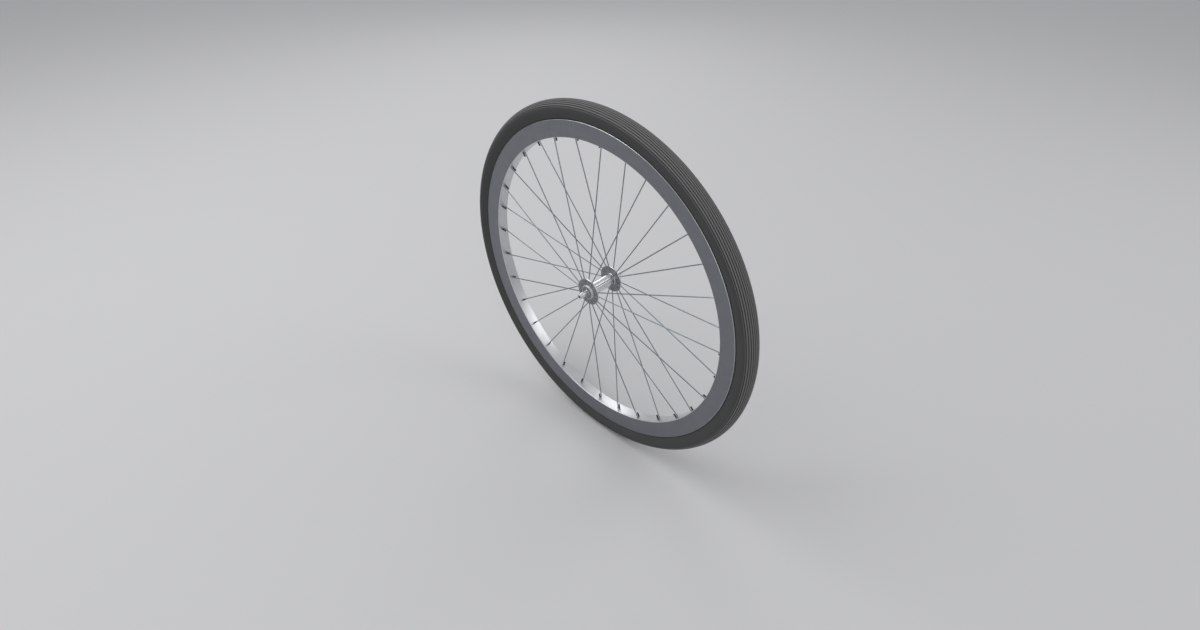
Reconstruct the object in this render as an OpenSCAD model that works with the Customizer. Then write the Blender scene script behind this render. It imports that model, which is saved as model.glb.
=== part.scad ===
// Front bicycle wheel: radially laced double-wall rim, cartridge-bearing hub, ribbed tyre.
// Origin at the wheel's centre, axle along Y, left side at +Y. Millimetres.

/* [Rim] */
// Radius of the rim's outer edge
rim_r = 316; // [250:1:390]
// Width across the rim's outer edge
rim_w = 27.3; // [22:0.1:34]
// Width across the rim's spoke face
spoke_face_w = 23.3; // [19:0.1:28]
// Depth of the rim from its outer edge to its spoke face
rim_depth = 31.8; // [24:0.1:40]
// Height of the rim's edge over the bead seat
flange_h = 5; // [4:0.1:7]
// Depth of the well under the bead seat
well_depth = 5.5; // [4:0.1:7]
// Wall of the rim's sides and bed
rim_wall = 1.5; // [1.2:0.1:2]
// Wall of the spoke face, which carries the nipples
spoke_wall = 1.8; // [1.4:0.1:2.6]
// Thickness of the hooked lip
lip_t = 2.3; // [1.8:0.1:3]
// Length of the sleeve that joins the rim's two ends
sleeve_len = 22.15; // [20:0.05:46]
// Wall of the rim joint sleeve
sleeve_wall = 0.6; // [0.6:0.05:1.6]

/* [Tyre and tube] */
// Width of the inflated tyre
tyre_w = 37; // [30:0.1:46]
// Height of the tyre from its bead seat, over its width
tyre_aspect = 1; // [0.9:0.01:1.05]
// Thickness of the tread at the crown
tread_t = 4.6; // [3.5:0.1:6]
// Thickness of the sidewall
sidewall_t = 2.6; // [1.6:0.1:3.2]
// Number of ribs around the tread's section
rib_n = 12; // [6:1:14]
// Distance from rib to rib
rib_pitch = 3.85; // [2:0.05:4.2]
// Width of a groove between two ribs
groove_w = 1.3; // [0.6:0.1:1.8]
// Depth of a groove
groove_d = 1.3; // [0.6:0.1:2]
// Thickness of the bead inside the rim's lip
bead_t = 3.6; // [3:0.1:4.2]
// Wall of the inner tube
tube_wall = 1; // [0.8:0.1:1.5]
// Thickness of the rim tape
tape_t = 0.8; // [0.5:0.1:1.2]

/* [Spokes and nipples] */
// Number of spokes, alternating between the two flanges
spoke_n = 32; // [16:4:32]
// Diameter of a spoke
spoke_d = 2; // [1.8:0.1:2.3]
// Radius of the bend at the spoke's elbow
bend_r = 2; // [1.8:0.1:2.4]
// Diameter of the spoke's head
head_d = 3.8; // [3.4:0.1:4.4]
// Length of nipple that shows under the rim
nipple_show = 8; // [5:0.5:14]
// Diameter of the nipple's body
nipple_d = 3.2; // [3:0.1:4.4]
// Width across the nipple's flats
nipple_flats = 2.7; // [2.6:0.1:3.6]
// Diameter of the nipple's head
nipple_head_d = 5.2; // [4.8:0.1:7]

/* [Hub] */
// Distance across the flanges' outer faces
flange_span = 62; // [50:0.5:76]
// Diameter of a flange
flange_d = 53; // [44:0.5:66]
// Thickness of a flange
flange_t = 2.8; // [2.4:0.1:3.6]
// Distance from the flange's edge to its spoke holes
hole_inset = 5; // [4:0.1:6]
// Diameter of a spoke hole
spoke_hole_d = 2.5; // [2.4:0.1:2.8]
// Wall of the shell around the bearing, which sets the barrel
shell_wall = 2.1; // [1.5:0.1:4]
// Height of the end boss over the flange's outer face
boss_h = 3.3; // [2.5:0.1:6]
// Wall of the end boss around its dust recess
boss_wall = 2; // [1.5:0.1:3]
// Width of the dust recess around the bearing seat
recess_step = 1.9; // [1.2:0.1:3]
// Depth of the dust recess
recess_h = 1.2; // [1:0.1:2]

/* [Axle and bearings] */
// Distance between the end caps' outer faces
locknut_w = 100; // [84:0.5:135]
// Length of axle past each end cap
stub_len = 3.5; // [2.5:0.1:5]
// Diameter of the axle in its bearings
axle_d = 10; // [8.4:0.1:12]
// Step in radius from the axle down to an end cap's seat
axle_step = 0.3; // [0.2:0.05:0.6]
// Step in radius from an end cap's seat down to the axle's tip
tip_step = 0.2; // [0.2:0.05:0.4]
// Diameter of the skewer bore
skewer_d = 5.2; // [5:0.1:6]
// Wall of an end cap's sleeve
cap_wall = 0.8; // [0.6:0.1:2]
// Outer diameter of a bearing
bearing_d = 19; // [16:0.5:23]
// Width of a bearing
bearing_w = 5; // [5:0.5:7]
// Diameter of a ball
ball_d = 2.38; // [2:0.01:2.8]
// Lip of the shell behind a bearing
seat_lip = 2; // [1:0.1:2.5]

/* [Valve] */
// Diameter of the rubber-coated valve stem
stem_d = 7.7; // [7.5:0.1:8.3]
// Bore of the valve stem
stem_bore = 5.2; // [4.8:0.1:5.4]
// Length of stem past the rim's spoke face
stem_show = 8; // [6:0.1:30]
// Length of the stem's bare threaded end
stem_thread = 5.5; // [4:0.5:8]
// Depth of the core's threaded body inside the stem's mouth
core_set = 1.6; // [1:0.1:3]
// Length of the core
core_len = 19; // [15:0.5:22]

/* [Clearances] */
// Gap between pieces that sit on each other
seat_gap = 0.05; // [0.02:0.01:0.1]
// Gap around a bearing ring, an end cap or the spacer on its seat
ring_gap = 0.02; // [0.01:0.01:0.05]
// Gap between a ball and its grooves or pocket
ball_gap = 0.06; // [0.04:0.01:0.1]
// Gap between turning and standing pieces
running_gap = 0.2; // [0.1:0.05:0.3]
// Gap around a thread, a stem or a nipple in its hole
hole_gap = 0.25; // [0.15:0.05:0.4]
// Gap around a soft piece
soft_gap = 0.3; // [0.2:0.05:0.5]

/* [Hidden] */
spoke_names = [for (i = [1 : spoke_n]) str("spoke_", i < 10 ? "0" : "", i)];
$fn = 64;
ring_fn = 180;

// Rim section, as radii and half widths
spoke_face_r = rim_r - rim_depth;
chamber_floor_r = spoke_face_r + spoke_wall;
bead_seat_r = rim_r - flange_h;
well_r = bead_seat_r - well_depth;
edge_y = rim_w / 2;
face_y = spoke_face_w / 2;
lip_y = edge_y - lip_t;
bead_y = edge_y - rim_wall;
shelf_y = bead_y - bead_t;
well_y = shelf_y - rim_wall;
corner_r = 1.2;

// Tyre section: a crown arc, a shoulder arc tangent to it and a straight run to the bead
crown_angle = 50;
crown_drop = 2.1;
tyre_y = tyre_w / 2;
tyre_r = bead_seat_r + tyre_w * tyre_aspect;
crown_r = tyre_y + crown_drop;
crown_c = [tyre_r - crown_r, 0];
shoulder_r = (tyre_y - crown_r * sin(crown_angle)) / (1 - sin(crown_angle));
shoulder_c = crown_c + (crown_r - shoulder_r) * [cos(crown_angle), sin(crown_angle)];
bead_entry = [rim_r + 1.4, lip_y + 1.1];
tape_r = well_r + seat_gap + tape_t;

// Hub and bearing places along the axle, from the wheel's centre
flange_face = flange_span / 2;
flange_mid = flange_face - flange_t / 2;
boss_face = flange_face + boss_h;
recess_floor = boss_face - recess_h;
bearing_out = recess_floor - running_gap - seat_gap * 2;
bearing_in = bearing_out - bearing_w;
bearing_mid = bearing_out - bearing_w / 2;
bearing_r = bearing_d / 2;
barrel_r = bearing_r + shell_wall;
recess_r = bearing_r + recess_step;
boss_r = recess_r + boss_wall;
hole_r = flange_d / 2 - hole_inset;

// Bearing rings, equally thick on both sides of the gap that the balls run in
axle_r = axle_d / 2;
pitch_r = (axle_r + bearing_r) / 2;
land_gap = ball_d * 0.67;
race_t = (bearing_r - axle_r - land_gap) / 2;
groove_r = ball_d / 2 + ball_gap;
ball_n = floor(2 * PI * pitch_r / (ball_d * 1.45));
seal_t = 0.4;
cage_t = land_gap * 0.6;
cage_w = bearing_w - 2 * seal_t - 3 * running_gap;
cap_seat_r = axle_r - axle_step;
tip_r = cap_seat_r - tip_step;

// Spokes: the head sits on one face of the flange and the elbow leaves at the other
elbow_inset = 0.5;
head_h = 1.5;
// The bend leaves the elbow a hair thicker than the straight runs, which reach into it by a lap
elbow_swell = 0.02;
lap = 0.05;

// The valve stands midway between two spokes, and the rim's joint is opposite
valve_angle = 3.5 * 360 / spoke_n;
joint_angle = valve_angle + 180;
stem_end = spoke_face_r - stem_show;

function arc(c, r, a0, a1, n) =
    [for (k = [0 : n]) c + r * [cos(a0 + (a1 - a0) * k / n), sin(a0 + (a1 - a0) * k / n)]];

// A section that starts and ends on the wheel's middle plane, completed on its other side
function both_halves(half) =
    concat(half, [for (k = [len(half) - 2 : -1 : 1]) [half[k].x, -half[k].y]]);

// Half width of the rim's flat side at a radius
function side_y(r) = face_y + (edge_y - face_y) * (r - spoke_face_r) / rim_depth;

// Angle at which a line from a point touches an arc that lies on the line's outer side
function tangent_angle(c, r, p) =
    let (d = p - c)
    atan2(d.y, d.x) - acos(r / norm(d));

function spoke_angle(i) = i * 360 / spoke_n;
function spoke_side(i) = i % 2 == 0 ? -1 : 1;
function leaves_outside(i) = floor(i / 2) % 2 == 0;

// Where the elbow starts along the axle, and the sense in which it turns
function elbow_y(out) = out ? flange_face - elbow_inset : flange_face - flange_t + elbow_inset;
function elbow_turn(out) = out ? 1 : -1;

// Slope of a spoke, from its elbow down to the middle of the rim
function spoke_slope(out) =
    let (d = [chamber_floor_r - hole_r - bend_r, elbow_y(out)])
    atan2(d.y, d.x) + elbow_turn(out) * asin(bend_r / norm(d));

function elbow_end(out) =
    let (a = spoke_slope(out), s = elbow_turn(out))
    [hole_r + bend_r + s * bend_r * sin(a), elbow_y(out) + s * bend_r * cos(a)];

// Turns a section drawn as radius and distance along the axle about the axle
module lathe(fn = $fn) {
    rotate([-90, 0, 0]) rotate_extrude($fn = fn) children();
}

// Carries what stands on the +X axis round the axle to an angle
module at_angle(a) {
    rotate([0, -a, 0]) children();
}

module on_side(side) {
    if (side < 0) {
        mirror([0, 1, 0]) children();
    } else {
        children();
    }
}

// A rod along +X between two radii, on the wheel's middle plane
module radial_rod(r0, r1, d) {
    translate([r0, 0, 0]) rotate([0, 90, 0]) cylinder(d = d, h = r1 - r0);
}

// Puts children on a spoke's line: origin at the chamber floor, +Z outward
module on_spoke_line(i) {
    slope = spoke_slope(leaves_outside(i));
    at_angle(spoke_angle(i)) on_side(spoke_side(i))
        translate([chamber_floor_r, 0, 0]) rotate([0, 0, -slope]) rotate([0, 90, 0]) children();
}

// Rim

function rim_outline() = both_halves(concat(
    [[well_r, 0], [well_r, well_y], [bead_seat_r, shelf_y], [bead_seat_r, bead_y]],
    [[rim_r - lip_t - 0.8, bead_y], [rim_r - lip_t, lip_y]],
    arc([rim_r - lip_t / 2, edge_y - lip_t / 2], lip_t / 2, -90, 90, 10),
    arc([spoke_face_r + corner_r, side_y(spoke_face_r) - corner_r], corner_r, 90, 180, 5),
    [[spoke_face_r, 0]]
));

function chamber_outline(gap) =
    let (top = well_r - rim_wall - gap, floor = chamber_floor_r + gap, shelf = bead_seat_r - rim_wall - gap)
    both_halves([
        [top, 0],
        [top, well_y - gap / 2],
        [shelf, shelf_y - gap / 2],
        [shelf, side_y(shelf) - rim_wall - gap],
        [floor, side_y(floor) - rim_wall - gap],
        [floor, 0]
    ]);

module rim() {
    color("silver") difference() {
        lathe(ring_fn) difference() {
            polygon(rim_outline());
            polygon(chamber_outline(0));
        }
        for (i = [0 : spoke_n - 1]) {
            on_spoke_line(i)
                translate([0, 0, -spoke_wall - 2]) cylinder(d = nipple_d + 2 * hole_gap, h = spoke_wall + 4);
            at_angle(spoke_angle(i))
                radial_rod(well_r - rim_wall - 2, well_r + 1, nipple_head_d + 2.5);
        }
        at_angle(valve_angle) radial_rod(spoke_face_r - 1, well_r + 1, stem_d + 2 * hole_gap);
    }
}

module rim_joint_sleeve() {
    sweep = sleeve_len / chamber_floor_r * 180 / PI;
    top = well_r - rim_wall - soft_gap;
    floor = chamber_floor_r + soft_gap;
    half_w = side_y(floor) - rim_wall - soft_gap;
    color("gainsboro") at_angle(joint_angle) rotate([-90, 0, 0]) rotate([0, 0, -sweep / 2])
        rotate_extrude(angle = sweep, $fn = ring_fn) difference() {
            translate([floor, -half_w]) square([top - floor, 2 * half_w]);
            translate([floor + sleeve_wall, sleeve_wall - half_w])
                square([top - floor - 2 * sleeve_wall, 2 * (half_w - sleeve_wall)]);
        }
}

module rim_tape() {
    color("dimgray") difference() {
        lathe(ring_fn) translate([well_r + seat_gap, seat_gap - well_y])
            square([tape_t, 2 * (well_y - seat_gap)]);
        at_angle(valve_angle) radial_rod(well_r - 1, tape_r + 1, stem_d + 2 * hole_gap);
    }
}

// Tyre and tube

// The inside of the casing at a depth under its inner face, from the crown to the bead
function casing_inside(gap) =
    let (end = tangent_angle(shoulder_c, shoulder_r, bead_entry))
    concat(
        arc(crown_c, crown_r - tread_t - gap, 0, crown_angle - 12, 6),
        arc(shoulder_c, shoulder_r - sidewall_t - gap, crown_angle + 12, end, 10),
        [[rim_r, shelf_y + seat_gap * 2 - gap]]
    );

function tyre_outline() =
    let (
        end = tangent_angle(shoulder_c, shoulder_r, bead_entry),
        inside = casing_inside(0),
        seat = bead_seat_r + seat_gap
    )
    both_halves(concat(
        arc(crown_c, crown_r, 0, crown_angle, 14),
        arc(shoulder_c, shoulder_r, crown_angle + 4, end, 16),
        [bead_entry, [rim_r + 0.3, lip_y - seat_gap * 2], [rim_r - lip_t, lip_y - seat_gap * 2]],
        [[rim_r - lip_t - 1, bead_y - seat_gap * 2], [seat, bead_y - seat_gap * 2]],
        [[seat, shelf_y + seat_gap * 2]],
        [for (k = [len(inside) - 1 : -1 : 0]) inside[k]]
    ));

module tyre() {
    rib_step = rib_pitch / crown_r * 180 / PI;
    color("#3c3d40") lathe(ring_fn) difference() {
        polygon(tyre_outline());
        for (k = [1 : rib_n - 1]) {
            translate(crown_c) rotate((k - rib_n / 2) * rib_step)
                translate([crown_r - groove_d, -groove_w / 2]) square([groove_d + 1, groove_w]);
        }
    }
}

function tube_outline(gap) = both_halves(concat(
    casing_inside(gap),
    [[bead_seat_r, shelf_y + seat_gap * 2 - gap], [tape_r + gap, well_y - gap], [tape_r + gap, 0]]
));

module inner_tube() {
    color("#202020") difference() {
        lathe(ring_fn) difference() {
            polygon(tube_outline(soft_gap));
            polygon(tube_outline(soft_gap + tube_wall));
        }
        at_angle(valve_angle) radial_rod(well_r, tape_r + 3 * tube_wall, stem_d + 2 * seat_gap);
    }
}

// Valve

module valve_stem() {
    foot_r = tape_r + soft_gap + tube_wall + seat_gap;
    thread_step = 0.1;
    color("#202020") at_angle(valve_angle) difference() {
        union() {
            radial_rod(stem_end, stem_end + stem_thread, stem_d - 2 * thread_step);
            radial_rod(stem_end + stem_thread, foot_r + 1.5, stem_d);
            radial_rod(foot_r, foot_r + 1.5, stem_d + 3);
        }
        radial_rod(stem_end - 1, foot_r + 2.5, stem_bore);
    }
}

module valve_core() {
    body_len = 6;
    pin_d = 1.5;
    pin_set = 0.6;
    body_r = stem_end + core_set;
    color("goldenrod") at_angle(valve_angle) union() {
        radial_rod(stem_end + pin_set, body_r, pin_d);
        radial_rod(body_r, body_r + body_len, stem_bore - 2 * seat_gap);
        radial_rod(body_r + body_len, body_r + core_len, stem_bore - 1.4);
    }
}

// Spokes and nipples

module spoke(i) {
    out = leaves_outside(i);
    turn = elbow_turn(out);
    slope = spoke_slope(out);
    start = elbow_y(out);
    seat = flange_mid - turn * (flange_t / 2 + seat_gap);
    end = elbow_end(out);
    run = norm([chamber_floor_r, 0] - end) + 2;
    color("lightsteelblue") at_angle(spoke_angle(i)) on_side(spoke_side(i)) union() {
        translate([hole_r, seat, 0]) rotate([90 * turn, 0, 0]) {
            cylinder(d = head_d, h = head_h / 2);
            translate([0, 0, head_h / 2]) cylinder(d1 = head_d, d2 = head_d - 1.4, h = head_h / 2);
        }
        translate([hole_r, seat, 0]) rotate([-90 * turn, 0, 0])
            cylinder(d = spoke_d, h = abs(start - seat) + lap);
        translate([hole_r + bend_r, start, 0]) rotate([0, 0, out ? 90 - slope : 180])
            rotate_extrude(angle = 90 + turn * slope)
                translate([bend_r, 0]) circle(d = spoke_d + elbow_swell);
        translate([end.x, end.y, 0]) rotate([0, 0, -slope]) rotate([0, 90, 0])
            translate([0, 0, -lap]) cylinder(d = spoke_d, h = run + lap);
    }
}

// One nipple, seated by its cone on the chamber floor, with four flats outside the rim
module nipple() {
    head_r = nipple_head_d / 2;
    body_r = nipple_d / 2;
    neck = spoke_wall + 0.8;
    difference() {
        union() {
            intersection() {
                translate([0, 0, -spoke_wall - nipple_show]) cylinder(r = body_r, h = nipple_show);
                translate([-nipple_flats / 2, -nipple_flats / 2, -spoke_wall - nipple_show])
                    cube([nipple_flats, nipple_flats, nipple_show]);
            }
            translate([0, 0, -neck]) cylinder(r = body_r, h = neck + 0.15);
            translate([0, 0, 0.15]) cylinder(r1 = body_r, r2 = head_r, h = head_r - body_r);
            translate([0, 0, 0.15 + head_r - body_r]) cylinder(r = head_r, h = 1.5);
        }
        translate([0, 0, -spoke_wall - nipple_show - 1])
            cylinder(d = spoke_d + 2 * seat_gap, h = spoke_wall + nipple_show + 6);
    }
}

module nipples(side) {
    for (i = [0 : spoke_n - 1]) {
        if (spoke_side(i) == side) {
            on_spoke_line(i) color("slategray") nipple();
        }
    }
}

// Hub

function hub_outline() =
    let (edge_r = flange_t / 2, flange_in = flange_face - flange_t, fillet = 1.2)
    both_halves(concat(
        [[barrel_r, 0]],
        arc([barrel_r + fillet, flange_in - fillet], fillet, 180, 90, 5),
        arc([flange_d / 2 - edge_r, flange_mid], edge_r, -90, 90, 10),
        arc([boss_r + fillet / 2, flange_face + fillet / 2], fillet / 2, 270, 180, 4),
        arc([boss_r - fillet / 2, boss_face - fillet / 2], fillet / 2, 0, 90, 4),
        [[recess_r, boss_face], [recess_r, recess_floor], [bearing_r, recess_floor]],
        [[bearing_r, bearing_in], [bearing_r - seat_lip, bearing_in], [bearing_r - seat_lip, 0]]
    ));

module hub_shell() {
    color("gainsboro") difference() {
        lathe(96) polygon(hub_outline());
        for (i = [0 : spoke_n - 1]) {
            at_angle(spoke_angle(i)) translate([hole_r, spoke_side(i) * flange_mid, 0])
                rotate([90, 0, 0]) cylinder(d = spoke_hole_d, h = flange_t + 1, center = true);
        }
    }
}

// Axle, end caps and spacer

module axle() {
    shoulder = bearing_out - running_gap;
    tip = locknut_w / 2 + stub_len;
    bevel = 0.5;
    color("darkgray") lathe() polygon(both_halves([
        [axle_r, 0],
        [axle_r, shoulder],
        [cap_seat_r, shoulder],
        [cap_seat_r, locknut_w / 2],
        [tip_r, locknut_w / 2],
        [tip_r, tip - bevel],
        [tip_r - bevel, tip],
        [skewer_d / 2, tip],
        [skewer_d / 2, 0]
    ]));
}

module bearing_spacer() {
    bore = axle_r + ring_gap;
    color("silver") lathe() translate([bore, -bearing_in])
        square([race_t - ring_gap - running_gap / 2, 2 * bearing_in]);
}

module end_cap() {
    bore = cap_seat_r + ring_gap;
    hub_r = axle_r + race_t - running_gap;
    sleeve_r = cap_seat_r + cap_wall;
    shield_in = recess_floor + running_gap;
    shield_out = boss_face - running_gap;
    face = locknut_w / 2;
    bevel = 0.5;
    color("silver") lathe() polygon([
        [bore, bearing_out],
        [hub_r, bearing_out],
        [hub_r, shield_in],
        [recess_r - running_gap, shield_in],
        [recess_r - running_gap, shield_out],
        [sleeve_r, shield_out],
        [sleeve_r, face - bevel],
        [sleeve_r - bevel, face],
        [bore, face]
    ]);
}

// Bearings

module race_groove() {
    translate([pitch_r, bearing_mid]) circle(r = groove_r);
}

module outer_race() {
    color("silver") lathe() difference() {
        translate([bearing_r - race_t, bearing_in]) square([race_t - ring_gap, bearing_w]);
        race_groove();
    }
}

module inner_race() {
    color("silver") lathe() difference() {
        translate([axle_r + ring_gap, bearing_in]) square([race_t - ring_gap, bearing_w]);
        race_groove();
    }
}

module balls() {
    color("whitesmoke") for (k = [0 : ball_n - 1]) {
        at_angle(k * 360 / ball_n) translate([pitch_r, bearing_mid, 0]) sphere(d = ball_d);
    }
}

module cage() {
    color("peru") difference() {
        lathe() translate([pitch_r - cage_t / 2, bearing_mid - cage_w / 2]) square([cage_t, cage_w]);
        for (k = [0 : ball_n - 1]) {
            at_angle(k * 360 / ball_n) translate([0, bearing_mid, 0])
                radial_rod(pitch_r - cage_t, pitch_r + cage_t, ball_d + 2 * ball_gap);
        }
    }
}

module seals() {
    inner = axle_r + race_t + running_gap / 2;
    outer = bearing_r - race_t - ring_gap;
    color("black") for (y = [bearing_in + seat_gap, bearing_out - seat_gap - seal_t]) {
        lathe() translate([inner, y]) square([outer - inner, seal_t]);
    }
}

tyre();
inner_tube();
rim_tape();
rim();
rim_joint_sleeve();
for (i = [0 : spoke_n - 1]) spoke(i);
nipples(1);  // left_nipples
nipples(-1);  // right_nipples
hub_shell();
axle();
bearing_spacer();
end_cap();  // left_end_cap
outer_race();  // left_outer_race
inner_race();  // left_inner_race
balls();  // left_balls
cage();  // left_cage
seals();  // left_seals
on_side(-1) end_cap();  // right_end_cap
on_side(-1) outer_race();  // right_outer_race
on_side(-1) inner_race();  // right_inner_race
on_side(-1) balls();  // right_balls
on_side(-1) cage();  // right_cage
on_side(-1) seals();  // right_seals
valve_stem();
valve_core();
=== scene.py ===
"""Looks of a front bicycle wheel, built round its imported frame.

The wheel stands upright with its centre at the origin and its axle along Y. All sizes are in
metres. Pieces that show are modelled here with the hand tools of edit mode. What is shut inside the
hub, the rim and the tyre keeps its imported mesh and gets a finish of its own.
"""

import logging
import math
from collections.abc import Callable, Iterable, Sequence
from dataclasses import dataclass, field
from enum import Enum

import bmesh
import bpy
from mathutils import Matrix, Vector


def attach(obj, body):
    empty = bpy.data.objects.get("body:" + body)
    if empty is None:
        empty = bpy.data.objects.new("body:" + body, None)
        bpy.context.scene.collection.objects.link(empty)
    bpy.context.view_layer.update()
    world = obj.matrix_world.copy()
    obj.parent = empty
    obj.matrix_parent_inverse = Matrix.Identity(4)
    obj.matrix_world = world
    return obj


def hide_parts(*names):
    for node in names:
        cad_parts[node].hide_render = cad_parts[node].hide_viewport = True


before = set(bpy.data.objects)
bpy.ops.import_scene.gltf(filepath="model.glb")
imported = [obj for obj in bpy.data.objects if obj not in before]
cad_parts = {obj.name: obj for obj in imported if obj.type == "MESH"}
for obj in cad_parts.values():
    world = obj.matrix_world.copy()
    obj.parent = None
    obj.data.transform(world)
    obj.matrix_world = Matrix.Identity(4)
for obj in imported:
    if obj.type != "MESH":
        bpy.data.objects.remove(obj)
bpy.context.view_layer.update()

MM = 0.001
FULL_TURN = 2 * math.pi
# Share of a face's normal that runs along the axle, from which the face counts as flat
FLAT = 0.9
# Middle part of a noise's output, where nearly all of it lies
NOISE_REACH = (0.3, 0.7)
LOG = logging.getLogger("wheel")

Point = tuple[float, float]
Place = tuple[float, float, float]
Colour = tuple[float, float, float]
Piece = bpy.types.Object
Socket = bpy.types.NodeSocket
FaceTest = Callable[[Vector, Vector], bool]


class Side(Enum):
    """Side of the wheel, as the sign of Y."""

    LEFT = 1
    RIGHT = -1


class Exit(Enum):
    """Face of the flange at which a spoke leaves it, as the sense of its elbow."""

    OUTSIDE = 1
    INSIDE = -1


def polar(centre: Point, radius: float, degrees: float) -> Point:
    """Point at an angle on a circle, drawn as radius and distance along the axle.

    Args:
        centre: Centre of the circle.
        radius: Radius of the circle.
        degrees: Angle from the direction away from the axle.

    Returns:
        The point.
    """
    turn = math.radians(degrees)
    return (centre[0] + radius * math.cos(turn), centre[1] + radius * math.sin(turn))


def arc(centre: Point, radius: float, start: float, end: float, count: int) -> list[Point]:
    """Points along an arc, both ends included.

    Args:
        centre: Centre of the arc.
        radius: Radius of the arc.
        start: First angle, in degrees.
        end: Last angle, in degrees.
        count: Number of straight runs.

    Returns:
        The points in order.
    """
    return [polar(centre, radius, start + (end - start) * k / count) for k in range(count + 1)]


def from_axle(centre: Vector) -> float:
    """Distance of a point from the axle's line."""
    return math.hypot(centre.x, centre.z)


def both_halves(half: Sequence[Point]) -> list[Point]:
    """Completes a section that starts and ends on the wheel's middle plane.

    Args:
        half: Points of the left half, from the middle plane and back to it.

    Returns:
        The closed outline, without its repeated first point.
    """
    return [*half, *((r, -y) for r, y in reversed(half[1:-1]))]


class Bench:
    """Hand tools: each method is one step of modelling in edit mode."""

    @staticmethod
    def clear() -> None:
        """Leaves edit mode and deselects everything."""
        if bpy.context.object and bpy.context.object.mode != "OBJECT":
            bpy.ops.object.mode_set(mode="OBJECT")
        bpy.ops.object.select_all(action="DESELECT")

    @staticmethod
    def pick(piece: Piece) -> None:
        """Makes one object the only one selected.

        Args:
            piece: The object.
        """
        Bench.clear()
        piece.select_set(True)
        bpy.context.view_layer.objects.active = piece

    @staticmethod
    def point(name: str, at: Point) -> Piece:
        """Starts a piece from a small plane that is merged into one vertex.

        Args:
            name: Name of the piece.
            at: Radius and distance along the axle of the vertex.

        Returns:
            The new object, open in edit mode.
        """
        Bench.clear()
        bpy.ops.mesh.primitive_plane_add(size=MM)
        piece = bpy.context.object
        piece.name = name
        bpy.ops.object.mode_set(mode="EDIT")
        bpy.ops.mesh.select_mode(type="VERT")
        bpy.ops.mesh.select_all(action="SELECT")
        bpy.ops.mesh.merge(type="CENTER")
        bpy.ops.transform.translate(value=(at[0], at[1], 0.0))
        return piece

    @staticmethod
    def draw(points: Sequence[Point]) -> None:
        """Extrudes the selected vertex from point to point.

        Args:
            points: The outline; its first point is where the vertex is now.
        """
        for last, point in zip(points, points[1:]):
            step = (point[0] - last[0], point[1] - last[1], 0.0)
            bpy.ops.mesh.extrude_vertices_move(TRANSFORM_OT_translate={"value": step})

    @staticmethod
    def close(piece: Piece) -> None:
        """Joins the two loose ends of a drawn outline with an edge.

        Args:
            piece: Object that is open in edit mode.
        """
        mesh = bmesh.from_edit_mesh(piece.data)
        for vertex in mesh.verts:
            vertex.select = len(vertex.link_edges) == 1
        mesh.select_flush_mode()
        bmesh.update_edit_mesh(piece.data)
        bpy.ops.mesh.edge_face_add()

    @staticmethod
    def seal() -> None:
        """Merges doubled vertices and turns all faces outward."""
        bpy.ops.mesh.select_all(action="SELECT")
        bpy.ops.mesh.remove_doubles(threshold=0.001 * MM)
        bpy.ops.mesh.normals_make_consistent(inside=False)

    @staticmethod
    def turned(name: str, outline: Sequence[Point], steps: int) -> Piece:
        """Turns a closed outline about the axle, as on a lathe.

        Args:
            name: Name of the piece.
            outline: Points as radius and distance along the axle.
            steps: Number of faces round the piece.

        Returns:
            The turned piece, in object mode.
        """
        piece = Bench.point(name, outline[0])
        Bench.draw(outline)
        if outline[0][0] > 0.0 or outline[-1][0] > 0.0:
            Bench.close(piece)
        bpy.ops.mesh.select_all(action="SELECT")
        bpy.ops.mesh.spin(
            steps=steps, angle=FULL_TURN, center=(0.0, 0.0, 0.0), axis=(0.0, 1.0, 0.0)
        )
        Bench.seal()
        bpy.ops.object.mode_set(mode="OBJECT")
        return piece

    @staticmethod
    def settle(
        piece: Piece,
        rotation: Place = (0.0, 0.0, 0.0),
        place: Place = (0.0, 0.0, 0.0),
        mirrored: bool = False,
    ) -> None:
        """Turns and moves a piece and writes its place into its mesh.

        Args:
            piece: The piece.
            rotation: Turn about X, Y and Z, in radians.
            place: Move, in metres.
            mirrored: Whether the piece changes side of the wheel.
        """
        Bench.pick(piece)
        piece.rotation_euler = rotation
        piece.location = place
        if mirrored:
            piece.scale = (1.0, -1.0, 1.0)
        bpy.ops.object.transform_apply(location=True, rotation=True, scale=True)
        if mirrored:
            bpy.ops.object.mode_set(mode="EDIT")
            Bench.seal()
            bpy.ops.object.mode_set(mode="OBJECT")

    @staticmethod
    def copy(piece: Piece, name: str) -> Piece:
        """Copies a piece with a mesh of its own.

        Args:
            piece: The piece.
            name: Name of the copy.

        Returns:
            The copy.
        """
        twin = piece.copy()
        twin.data = piece.data.copy()
        twin.name = name
        bpy.context.collection.objects.link(twin)
        return twin

    @staticmethod
    def join(pieces: Sequence[Piece], name: str) -> Piece:
        """Joins several pieces into one object that keeps their shells apart.

        Args:
            pieces: The pieces, of which the first one takes up the others.
            name: Name of the joined piece.

        Returns:
            The joined piece.
        """
        Bench.clear()
        for piece in pieces:
            piece.select_set(True)
        bpy.context.view_layer.objects.active = pieces[0]
        bpy.ops.object.join()
        pieces[0].name = name
        return pieces[0]

    @staticmethod
    def combine(piece: Piece, other: Piece, operation: str) -> None:
        """Cuts with, adds or keeps what is common with another solid, which is used up.

        Args:
            piece: The piece that changes.
            other: The solid that it is combined with.
            operation: DIFFERENCE, UNION or INTERSECT.
        """
        Bench.pick(piece)
        bpy.ops.object.modifier_add(type="BOOLEAN")
        cut = piece.modifiers[-1]
        cut.operation = operation
        cut.solver = "EXACT"
        cut.object = other
        bpy.ops.object.modifier_apply(modifier=cut.name)
        bpy.data.objects.remove(other)

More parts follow.
